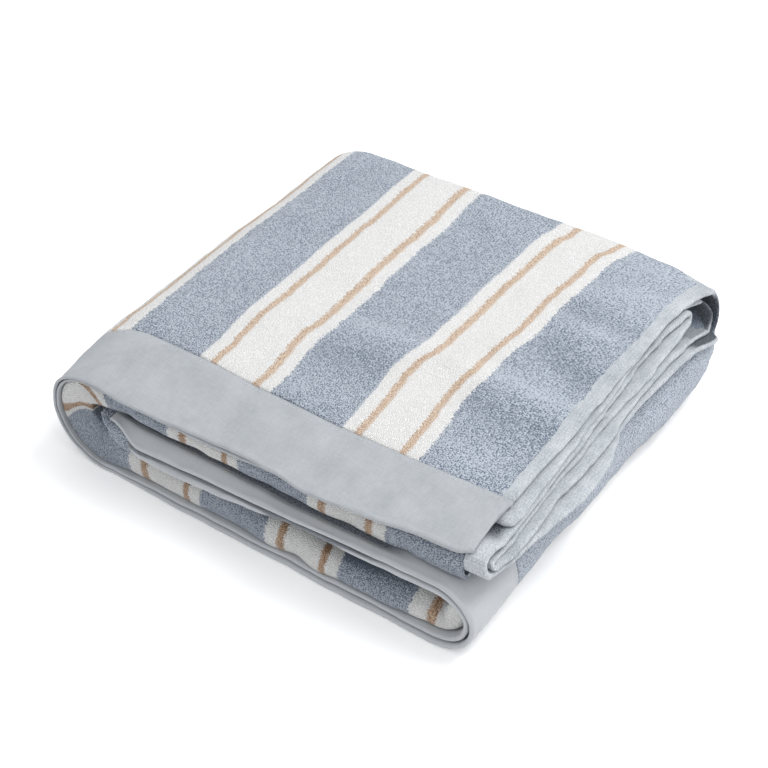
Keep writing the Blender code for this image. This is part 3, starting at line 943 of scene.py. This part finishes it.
borders = {
    "a": {"node": "end_border_a", "name": "endBorderA", "ply": 1, "rightX": 144.4, "leftX": -108.0,
          "cutBack": (8.0, 26.0)},
    "b": {"node": "end_border_b", "name": "endBorderB", "ply": 2, "rightX": 136.0, "leftX": -104.0,
          "cutBack": (26.0, 16.0)},
    "wall": 3.2,
    "sunk": 0.35,  # below the pile beside it
    "topStep": 2.0,
    "hiddenStep": 4.0,
    "topPoints": 44,
    "roundSteps": 8,
    "seamColumns": (3, 6),  # of the border's section, where its stitches run and point
    "cornerBack": 5.0,  # both right corners draw back, and border A's sags
    "cornerSag": 1.6,
    "edgeRoll": 0.20,  # pressed line behind the turned edge
    "seamGroove": 0.30,
    "restCrease": 2.6,
    # painted shade where the upper packet rests on border A, and on border B beside border A's
    # edge
    "restPaintedShade": 0.92,
    "besidePaintedShade": 0.7,
    # painted light on the turned-in stretches, with more on the lowest
    "inwardPaintedLight": (1.3, 0.9),
    "endRound": ((0.0, 0.25), (0.35, 0.62), (0.9, 0.88), (1.7, 1.0)),
}

borderFronts = [  # at, front y of border A and of border B, and the sag of their front edges
    (0.00, -149.5, -146.0, 0.6),
    (0.34, -154.6, -148.5, 0.0),
    (0.46, -151.2, -148.6, 0.0),
    (0.55, -150.0, -148.8, 0.0),
    (0.67, -150.0, -149.0, 0.0),
    (0.80, -152.2, -149.0, 0.0),
    (0.90, -153.2, -149.0, 0.0),
    (1.00, -150.5, -148.6, 0.0),
    (1.50, -146.0, -145.4, 0.0),
    (2.00, -148.0, -147.2, 0.0),
    (2.25, -150.0, -149.0, 0.0),
    (2.55, -151.5, -150.2, 0.0),
    (2.80, -153.0, -151.6, 0.0),
    (3.00, -154.0, -152.5, 0.0),
    (3.50, -154.5, -154.0, 0.0),
    (4.00, -155.0, -156.5, 0.0),
    (4.20, -155.0, -156.0, 0.0),
    (4.38, -155.5, -154.0, 1.0),
    (4.52, -154.4, -155.8, 3.2),
    (4.60, -153.8, -156.6, 4.5),
    (4.76, -153.6, -156.8, 6.3),
    (4.87, -154.0, -155.6, 7.3),
    (4.93, -155.0, -151.0, 7.0),
]

restRows = [  # at, y where the upper packet's front rests on the lower packet's border
    (4.00, -146.0), (4.40, -145.0), (4.52, -143.2), (4.66, -141.6), (4.85, -141.0), (4.95, -139.0),
]

bandEndRows = [  # y, how far border A's right end steps back
    (-150.0, -1.4), (-135.0, -1.6), (-118.0, -2.4), (-112.0, -1.8), (-104.0, -0.6),
]

bandCreases = [  # u1, y1, u2, y2, width, height on border A
    (30.0, -140.0, 90.0, -134.0, 9.0, 0.6),
    (120.0, -126.0, 180.0, -134.0, 10.0, 0.7),
    (200.0, -142.0, 240.0, -122.0, 9.0, -0.7),
    (60.0, -118.0, 110.0, -116.0, 8.0, -0.5),
    (262.0, -138.0, 268.0, -112.0, 7.0, 0.8),
]


def makeBorder(key):
    size, one = borders, borders[key]
    column = 1 if key == "a" else 2
    start = fold["rightEdgeX"] - one["rightX"]
    end = turnStarts[4] + fold["rightX"] - one["leftX"]
    ends = size["endRound"]
    body = spread([(start + 2.6, size["topStep"]), (turnStarts[2], size["hiddenStep"]),
                   (turnStarts[3], size["topStep"]), (end - 2.6, 1.0)])
    u = np.concatenate([[start + e[0] for e in ends], body, [end - e[0] for e in ends[::-1]]])
    thick = np.concatenate([[e[1] for e in ends], np.ones(len(body)), [e[1] for e in ends[::-1]]])
    at = spiral(u)[4]
    front = readTable(borderFronts, at, column)[:, None]
    press = readTable(pressRows, at)[:, None]
    wall = size["wall"] * thick[:, None] * press
    depthTop = (one["ply"] - 1) * fold["plyPitch"] + size["sunk"]
    middle = (depthTop + size["wall"] / 2) * press
    corner = np.exp(-(((u - start) / 5.0) ** 2))[:, None]
    front = front + size["cornerBack"] * corner
    cut, run = one["cutBack"]  # the far end lies back at a slant, and the terry shows before it
    front = front + cut * smooth((u - end + run) / run)[:, None]
    lead = np.minimum(readTable(borderFronts, at, 1), readTable(borderFronts, at, 2))[:, None]
    sag = readTable(borderFronts, at, 3) * smooth((end - 6.0 - u) / 20.0) * (at > 4.2)
    sag = sag[:, None] + (size["cornerSag"] * corner if key == "a" else 0.0)
    inner = bandLine(u)[:, None] if key == "a" else fold["bandLineY"] + 0 * u[:, None]
    ones = np.ones((len(u), 1))
    share = np.linspace(0.0, 1.0, size["topPoints"])
    topY = mixed(inner - 0.6, front + wall / 2, share[None, :])
    steps = size["roundSteps"]
    angle = np.pi * np.arange(1, steps) / steps
    roundY = front + wall / 2 * (1.0 - np.sin(angle))
    roundDepth = middle - wall / 2 * np.cos(angle)
    underY = mixed(front + wall / 2, inner - 0.6, np.linspace(0.0, 1.0, steps)[None, :])
    y = np.concatenate([ones * inner, topY, roundY, underY, ones * inner], 1)
    depth = np.concatenate([middle - wall * 0.3, 0 * topY + middle - wall / 2, roundDepth,
                            0 * underY + middle + wall / 2, middle + wall * 0.3], 1)
    uu = u[:, None] + 0 * y
    free = readTable(bottomRows, at)[:, None]
    lift = creaseHeight(uu, y, bandCreases) + 0.25 * softNoise(uu, y, 9.0, 8 + column)
    lift = lift + 0.5 * softNoise(uu, y * 0.6, 24.0, 10 + column)
    roll = -size["edgeRoll"] * np.exp(-((y - front - 3.5) / 1.6) ** 2)
    seam = -size["seamGroove"] * np.exp(-((y - inner + 3.0) / 0.9) ** 2)
    upper = np.zeros(y.shape[1])
    upper[1:1 + topY.shape[1]] = 1.0
    if key == "a":
        depth = depth - (lift + roll + seam) * upper * free
    depth = depth + sag * smooth((lead + 17.0 - y) / 17.0) ** 1.5
    wavy = ripples(uu, 0 * uu, ((0.5, 26.0, 20 + column), (0.25, 9.0, 22)))
    y = y + wavy * smooth((inner - y) / 20.0)
    aside, paintedCaveShade = 0.0 * y, 0.0 * y
    if key == "b":  # painted shade beside the edge of the border above it
        above = readTable(borderFronts, at, 1)[:, None]
        paintedCaveShade = size["besidePaintedShade"] * smooth((y - above + 1.1) / 0.9)
        paintedCaveShade = paintedCaveShade * smooth((at - 4.1) / 0.1)[:, None]
    if key == "a":
        # a crease under the packet that rests on this border, with painted shade where they meet
        under = smooth((at - 4.06) / 0.1) * smooth((4.97 - at) / 0.04)
        meet = readTable(restRows, at)[:, None]
        crease = size["restCrease"] * np.exp(-(((y - meet) / 2.2) ** 2))
        depth = depth + crease * under[:, None]
        paintedCaveShade = size["restPaintedShade"] * smooth((y - meet + 1.2) / 1.8) * under[:, None]
        aside = readTable(bandEndRows, y) * smooth((spiral(uu)[0] - 128.0) / 16.0)
        aside = aside * (uu < rightEndU)
    # painted light: the turned-in stretches are made a little paler
    onward, lowest = smooth((at - 1.9) / 0.2), smooth((3.2 - at) / 0.2)
    pale, paler = size["inwardPaintedLight"]
    onwardPaintedLight = (pale * onward + paler * onward * lowest)[:, None]
    place = np.stack([uu, ringLength(y, depth), onwardPaintedLight + 0.0 * y, paintedCaveShade], -1)
    points = lay(uu, y, depth, aside)
    piece = sheetPiece(one["name"], points, place, woven)
    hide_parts(one["node"])
    if key == "a":
        for name, low, high in (("seamStitchesTop", -0.1, 1.85), ("seamStitchesRight", 3.2, 4.0)):
            rows = (at > low) & (at < high) & (u > start + 3.0)
            on, beside = size["seamColumns"]
            stitchRow(name, points[rows, on], points[rows, beside])


makeBorder("a")
makeBorder("b")

# Side hems: one ribbon through all six plies at each end of the spiral

hems = {
    "right": {"node": "side_hem_right", "name": "sideHemRight", "innerX": 129.0,
              "outward": 1.0, "topZ": 81.0, "back": 151.0, "front": -146.5, "tail": -117.0,
              "insets": (0.0, 0.0, 40.5, 8.0, 10.0),
              "frontSwell": 4.2, "frontLift": 2.6, "endDrop": 1.6, "backLean": 2.8,
              "backSag": 20.0, "middleLift": 3.4, "endIn": 3.0, "tailRound": 4.0,
              "frontInset": 9.6},
    "left": {"node": "side_hem_left", "name": "sideHemLeft", "innerX": -80.0,
             "outward": -1.0, "topZ": 53.8, "back": 146.0, "front": -139.0, "tail": -108.0,
             "insets": (0.0, 0.0, 11.0, 7.0, 5.0)},
    "wall": 3.8,
    "alongStep": 2.0,
    "chain": (1, 6, 3, 4, 5, 2),
    "pairing": (0.0, 0.0, 0.35, -0.35, 0.35, -0.35, 0.0),
    "turnSteps": 16,
    "edgeSteps": 12,
    "edgeWaves": ((0.5, 15.0, 30), (0.25, 5.0, 33)),
    "freeThin": 0.36,  # share of its thickness left where it hangs free
    "stitchColumns": (18, 20),  # of the hem's section, where its stitches run and point
}

hemEdges = {  # y, then how far out each ply's edge lies, from the first to the sixth
    "right": [
        (-150.0, 143.0, 147.0, 149.0, 150.5, 152.5, 151.0),
        (-131.0, 143.0, 149.0, 150.8, 151.6, 154.8, 153.5),
        (-118.0, 142.8, 149.6, 150.8, 152.0, 156.9, 156.4),
        (-104.0, 143.4, 150.6, 150.6, 151.2, 156.6, 157.7),
        (-90.0, 143.8, 149.8, 150.2, 150.8, 155.6, 160.0),
        (-75.0, 143.6, 149.2, 149.8, 150.2, 154.8, 162.4),
        (-60.0, 144.2, 148.4, 149.4, 149.9, 155.4, 164.4),
        (-47.0, 144.4, 147.8, 149.2, 150.6, 156.6, 165.0),
        (-28.0, 144.4, 146.8, 148.4, 150.0, 156.9, 163.4),
        (-9.0, 143.4, 146.0, 146.6, 149.6, 156.0, 158.4),
        (3.0, 143.0, 145.2, 145.4, 148.8, 153.8, 154.6),
        (16.0, 142.8, 144.2, 144.6, 149.4, 152.6, 153.4),
        (31.0, 142.6, 142.4, 143.6, 150.4, 152.0, 153.2),
        (45.0, 142.6, 141.0, 142.4, 150.3, 152.0, 154.6),
        (60.0, 142.2, 140.2, 142.4, 149.3, 152.4, 156.0),
        (75.0, 141.8, 139.8, 143.6, 149.8, 152.8, 156.8),
        (88.0, 142.2, 139.8, 144.8, 150.2, 153.4, 157.6),
        (98.0, 143.2, 140.0, 145.8, 149.4, 152.4, 156.8),
        (112.0, 145.0, 141.0, 147.2, 148.0, 151.0, 156.8),
        (126.0, 146.6, 143.0, 148.4, 149.0, 151.0, 157.4),
        (152.0, 149.5, 149.4, 150.0, 150.5, 151.4, 154.0),
    ],
    "left": [
        (-150.0, -92.0, -95.6, -99.2, -102.8, -106.4, -110.0),
        (150.0, -92.0, -96.0, -100.0, -104.0, -108.0, -112.0),
    ],
}

# The stretches of the chain whose sides face into the open turns at the back, and how much painted
# shade each side gets
paintedCaveSides = {0.0: (1.0, 0.0), 0.5: (1.0, 0.0), 1.0: (1.0, 0.0), 4.0: (0.0, 0.5), 4.5: (1.0, 0.85),
             5.0: (1.0, 1.0)}


def plyMiddle(ply):  # its depth in the stack, with the paired plies pressed together
    return (ply - 0.5) * fold["plyPitch"] + hems["pairing"][ply]


def chainRows(one, wall):  # y, depth of the middle, ply and stretch along the folded chain
    rows = []
    straight = spread([(fold["bandLineY"] + 0.3, hems["alongStep"]), (104.0, 1.0)])
    chain, turnSteps = hems["chain"], hems["turnSteps"]
    for index, ply in enumerate(chain):
        depth = plyMiddle(ply)
        run = straight if index % 2 == 0 else straight[::-1]
        rows += [(y, depth, ply, index) for y in run]
        if index == len(chain) - 1:
            for y in spread([(run[-1], hems["alongStep"]), (one["tail"], 1.0)])[1:]:
                rows.append((y, depth, ply, index))
            break
        target = chain[index + 1]
        endDepth = plyMiddle(target)
        half = abs(endDepth - depth) / 2
        sign = 1.0 if index % 2 == 0 else -1.0
        inset = one["insets"][index]
        reach = one["back"] - inset - wall / 2 if sign > 0 else one["front"] + inset + wall / 2
        turnY = reach - sign * half
        first = run[-1]
        longer = abs(turnY - first) > 3.0 and (turnY - first) * sign > 0
        between = spread([(first, hems["alongStep"]), (turnY, 1.0)])[1:-1] if longer else []
        rows += [(y, depth, ply, index) for y in between]
        for step in range(turnSteps + 1):
            turn = math.pi * step / turnSteps
            rows.append((turnY + sign * half * math.sin(turn),
                         mixed(depth, endDepth, (1.0 - math.cos(turn)) / 2),
                         mixed(ply, target, step / turnSteps), index + 0.5))
        rows += [(y, endDepth, target, index + 1) for y in between[::-1]]
    return np.array(rows)


def makeHem(key):
    one = hems[key]
    wall = hems["wall"]
    rows = chainRows(one, wall)
    y, depth, ply, stretch = rows.T
    sag = 0.0 * y
    if key == "right":
        # the front turn swells up under the border; the back turns hang open and sag
        swell = smooth((y + 146.0) / 8.0 + 0.5) * smooth((-124.0 - y) / 10.0)
        outerTurn = stretch < 2.5
        raised = one["frontSwell"] * swell * smooth((6.0 - ply) / 2.0)
        depth = depth - raised * outerTurn * (ply > 2.9)
        depth = depth + one["endDrop"] * smooth((-102.5 - y) / 3.0) * (stretch == 0.0)
        lift = one["frontLift"] * smooth((-126.0 - y) / 14.0)
        depth = depth - lift * smooth((ply - 3.0) / 2.5)
        lean = one["backLean"] * smooth((ply - 2.5) / 3.0)
        y = y - lean * smooth((y - 128.0) / 14.0) * (stretch < 1.5)
        below = one["backSag"] * smooth((y - 78.0) / 75.0)
        sag = mixed(hemSag(y), below, smooth((ply - 1.0) / 3.2))
        inner = (ply > 2.9) & (ply < 4.1) & (y < 116.0) & (stretch > 1.5)
        sag = np.where(inner, -one["middleLift"] * smooth((y - 50.0) / 45.0), sag)
    tangentY, tangentDepth = np.gradient(y), np.gradient(depth)
    length = np.maximum(np.hypot(tangentY, tangentDepth), 0.01)
    sideY, sideDepth = -tangentDepth / length, tangentY / length
    along = np.concatenate([[0.0], np.cumsum(np.hypot(np.diff(y), np.diff(depth)))])
    edges = np.stack([readTable(hemEdges[key], y, column) for column in range(1, 7)], -1)
    lower = np.clip(np.floor(ply).astype(int), 1, 5)
    row = np.arange(len(y))
    outer = mixed(edges[row, lower - 1], edges[row, lower], ply - lower)
    outer = outer + one["outward"] * ripples(along, 0 * along, hems["edgeWaves"])
    if key == "right":  # its first end lies under the border, its last is rounded
        outer = outer - one["endIn"] * smooth((-103.0 - y) / 2.5) * (stretch == 0.0)
        outer = outer - one["tailRound"] * smooth((-113.0 - y) / 4.0) ** 2 * (stretch == 5.0)
    half = wall / 2
    angle = np.pi * np.arange(1, hems["edgeSteps"]) / hems["edgeSteps"]
    acrossShare = np.array([0.0, 0.08, 0.25, 0.5, 0.75, 1.0])
    inX = np.full_like(outer, one["innerX"])
    if key == "right":  # its front turn shows beside the terry only
        inX = inX + one["frontInset"] * smooth((-124.0 - y) / 8.0)
    edge = outer - one["outward"] * half * 0.9
    xTop = mixed(inX[:, None], edge[:, None], acrossShare)
    xRound = edge[:, None] + one["outward"] * half * 0.9 * np.sin(angle) ** 0.8
    x = np.concatenate([xTop, xRound, xTop[:, ::-1]], 1)
    blunt = np.sign(np.cos(angle)) * np.abs(np.cos(angle)) ** 0.9
    side = np.concatenate([half + 0 * xTop, half * blunt + 0 * xRound, -half + 0 * xTop], 1)
    wrinkle = 0.25 * softNoise(along[:, None] + 0 * x, x, 6.0, 31)
    side = side + wrinkle * np.sign(side)
    fromEnd = np.minimum(along, along[-1] - along)[:, None]
    side = side * mixed(0.2, 1.0, smooth(fromEnd / 3.5) ** 0.7)
    if key == "right":  # thinner where it hangs free
        side = side * np.where(stretch == 4.5, hems["freeThin"], 1.0)[:, None]
    yy = y[:, None] + sideY[:, None] * side
    dd = depth[:, None] + sideDepth[:, None] * side
    dd = dd + sag[:, None] * sagShare(x)
    if key == "right":  # its inner side keeps within the terry's back turn
        yy = yy - 2.6 * smooth((137.0 - x) / 7.0) * smooth((yy - 138.0) / 8.0)
    z = one["topZ"] - dd
    height = np.maximum(settled(x, yy, z), 0.0)
    points = (np.stack([x, yy, height], -1) + shift) * mm
    # painted shade inside the hem's open turns at the back, on the inner side of its outer back
    # turn, over the upper half of the loose turn, and in the hollow at its front
    paintedCaveShade = 0.0 * x
    if key == "right":
        fromEdge = np.abs(outer[:, None] - x)
        shades = np.array([paintedCaveSides.get(place, (0.0, 0.0)) for place in stretch])
        inward = smooth(side / half + 0.6)
        paintedShade = mixed(shades[:, 1:], shades[:, :1], inward)
        free = smooth((y[:, None] - 92.0) / 16.0)
        paintedCaveShade = paintedShade * free * smooth((fromEdge - 0.5) / mixed(3.0, 1.2, free))
        turned = (stretch == 0.5)[:, None] * inward * smooth((ply[:, None] - 1.3) / 1.0)
        paintedCaveShade = np.maximum(paintedCaveShade, turned * smooth((5.9 - ply[:, None]) / 1.0))
        upperHalf = (stretch == 4.5)[:, None] * smooth((4.4 - ply[:, None]) / 1.4)
        paintedCaveShade = np.maximum(paintedCaveShade, 0.85 * upperHalf)
        hollow = np.exp(-(((yy + 119.0) / 8.0) ** 2)) * smooth((149.0 - x) / 3.0)
        paintedCaveShade = np.maximum(paintedCaveShade, hollow * ((ply > 2.9) & (ply < 3.1) & (stretch > 1.0))[:, None])
    place = np.stack([x, along[:, None] + 0 * x, 0 * x, paintedCaveShade], -1)
    piece = sheetPiece(one["name"], points, place, hemCloth)
    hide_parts(one["node"])
    width = abs(outer - inX).mean() * mm
    if key == "right":
        rows = (stretch == 0.0) & (y > -101.0) & (y < 136.0)
        on, beside = hems["stitchColumns"]
        stitchRow("hemStitches", points[rows, on], points[rows, beside])
    flat = (round(width + 0.002, 4), round(along[-1] * mm, 4))


makeHem("right")
makeHem("left")

# Floor, lights and camera

stageLook = {
    "floor": (0.95, 0.95, 0.95, 1.0),
    "world": (0.95, 0.97, 1.0, 1.0),
    "worldStrength": 0.62,
    "floorGlow": 0.065,
    "target": (-1.6, -12.3, 30.0),
    "azimuth": 33.93,
    "elevation": 39.45,
    "distance": 1023.7,
    "lens": 76.53,
    "lights": (  # name, place, target, size, power
        ("keyLight", (0.55, 0.50, 1.42), (0.0, 0.0, 0.04), (0.70, 0.70), 16.5),
        ("overheadLight", (0.0, -0.2, 1.7), (0.0, 0.0, 0.0), (2.0, 2.0), 9.5),
        ("frontLight", (-0.6, -1.3, 1.3), (0.0, 0.0, 0.03), (1.2, 0.8), 5.2),
        ("sideLight", (1.3, -0.4, 0.9), (0.0, 0.0, 0.03), (0.8, 0.8), 5.0),
    ),
}


def facing(lamp, target):  # turned so that it looks at its target
    away = lamp.location - type(lamp.location)(target)
    lamp.rotation_euler = away.to_track_quat("Z", "Y").to_euler()


def areaLight(name, place, target, size, power):
    light = bpy.data.lights.new(name, "AREA")
    light.shape = "RECTANGLE"
    light.size, light.size_y = size
    light.energy = power
    lamp = placed(name, light)
    lamp.location = place
    facing(lamp, target)


def makeStage():
    mesh = bpy.data.meshes.new("floor")
    mesh.from_pydata([(-3, -3, 0), (3, -3, 0), (3, 3, 0), (-3, 3, 0)], [], [(0, 1, 2, 3)])
    floor = placed("floor", mesh)
    material, _, shader = newMaterial("paleFloor", 0.8, 0.0)
    shader.inputs["Base Color"].default_value = stageLook["floor"]
    shader.inputs["Emission Color"].default_value = stageLook["floor"]
    shader.inputs["Emission Strength"].default_value = stageLook["floorGlow"]
    mesh.materials.append(material)
    world = bpy.data.worlds.new("softRoom")
    bpy.context.scene.world = world
    world.use_nodes = True
    sky = world.node_tree.nodes["Background"]
    sky.inputs["Color"].default_value = stageLook["world"]
    sky.inputs["Strength"].default_value = stageLook["worldStrength"]
    for row in stageLook["lights"]:
        areaLight(*row)


def makeCamera():
    azimuth, elevation = math.radians(stageLook["azimuth"]), math.radians(stageLook["elevation"])
    away = np.array([math.sin(azimuth) * math.cos(elevation),
                     -math.cos(azimuth) * math.cos(elevation), math.sin(elevation)])
    target = np.array(stageLook["target"])
    place = (target + away * stageLook["distance"] + shift) * mm
    data = bpy.data.cameras.new("photoCamera")
    data.sensor_width = 36.0
    data.lens = stageLook["lens"]
    data.clip_end = 20.0
    camera = placed("photoCamera", data)
    camera.location = place
    facing(camera, (target + shift) * mm)
    bpy.context.scene.camera = camera


makeStage()
makeCamera()
bpy.context.scene.view_settings.view_transform = "Standard"
print("stage and camera made")
